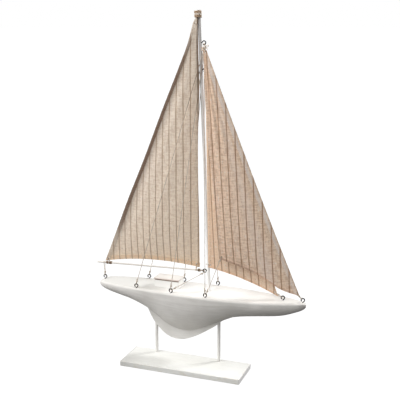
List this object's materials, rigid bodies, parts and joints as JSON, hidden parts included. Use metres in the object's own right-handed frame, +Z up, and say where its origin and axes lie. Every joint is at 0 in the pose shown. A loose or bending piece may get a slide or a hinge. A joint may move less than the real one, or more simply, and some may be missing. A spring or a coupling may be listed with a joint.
{
  "type": "display sailboat on stand",
  "caption": "Painted wooden display sailboat on a two-post stand, with a finned keel, deckhouse, raked mast, swinging boom, striped linen sails and cord rigging.",
  "frame": {"origin": "middle of the underside of the base board, where the part stands", "axes": "+X towards the bow, +Y towards port, +Z up"},
  "size_m": [0.4215, 0.106, 0.6676],
  "materials": {
    "white_paint": "matt off-white paint over wood",
    "roof_paint": "matt pinkish-white paint over wood",
    "main_linen": "grey-beige linen with thin brown stripes",
    "jib_linen": "warm tan linen with thin brown stripes",
    "dark_steel": "dark steel wire",
    "pale_cord": "pale twisted cord",
    "tan_lashing": "tan twisted twine",
    "brown_lashing": "dark brown twisted twine"
  },
  "bodies": {
    "boat_on_stand": {"base_board": "white_paint", "stand_post_aft": "white_paint", "stand_post_fore": "white_paint", "hull": "white_paint", "keel_fin": "white_paint", "deckhouse": "white_paint", "mast": "white_paint", "deckhouse_roof": "roof_paint", "inner_jib": "jib_linen", "outer_jib": "jib_linen", "stern_eye": "dark_steel", "bow_inner_eye": "dark_steel", "bow_outer_eye": "dark_steel", "aft_starboard_eye": "dark_steel", "aft_port_eye": "dark_steel", "mid_starboard_eye": "dark_steel", "mid_port_eye": "dark_steel", "fore_starboard_eye": "dark_steel", "fore_port_eye": "dark_steel", "mast_eye_upper": "dark_steel", "mast_eye_lower": "dark_steel", "gooseneck_eye": "dark_steel", "shroud_aft_starboard": "pale_cord", "shroud_aft_port": "pale_cord", "shroud_mid_starboard": "pale_cord", "shroud_mid_port": "pale_cord", "shroud_fore_starboard": "pale_cord", "shroud_fore_port": "pale_cord", "shroud_lashing": "pale_cord", "stern_tie": "pale_cord", "boom_line": "pale_cord", "outer_jib_sheet": "pale_cord", "outer_jib_head_tie": "pale_cord", "inner_jib_head_tie": "pale_cord", "outer_jib_tack_tie": "pale_cord", "inner_jib_tack_tie": "pale_cord", "inner_jib_clew_tie": "pale_cord", "masthead_lashing": "tan_lashing"},
    "boom_and_mainsail": {"boom": "white_paint", "mainsail": "main_linen", "main_clew_lashing": "brown_lashing", "main_tack_tie": "brown_lashing", "gooseneck_lashing": "brown_lashing"}
  },
  "joints": [
    {"name": "boom_swing", "type": "hinge", "parent": "boat_on_stand", "child": "boom_and_mainsail", "pos_m": [0.03002, 0.027, 0.1892], "axis": [-0.04, 0, 0.9992], "range_deg": [-4, 4], "deforming": ["stern_tie"]}
  ]
}
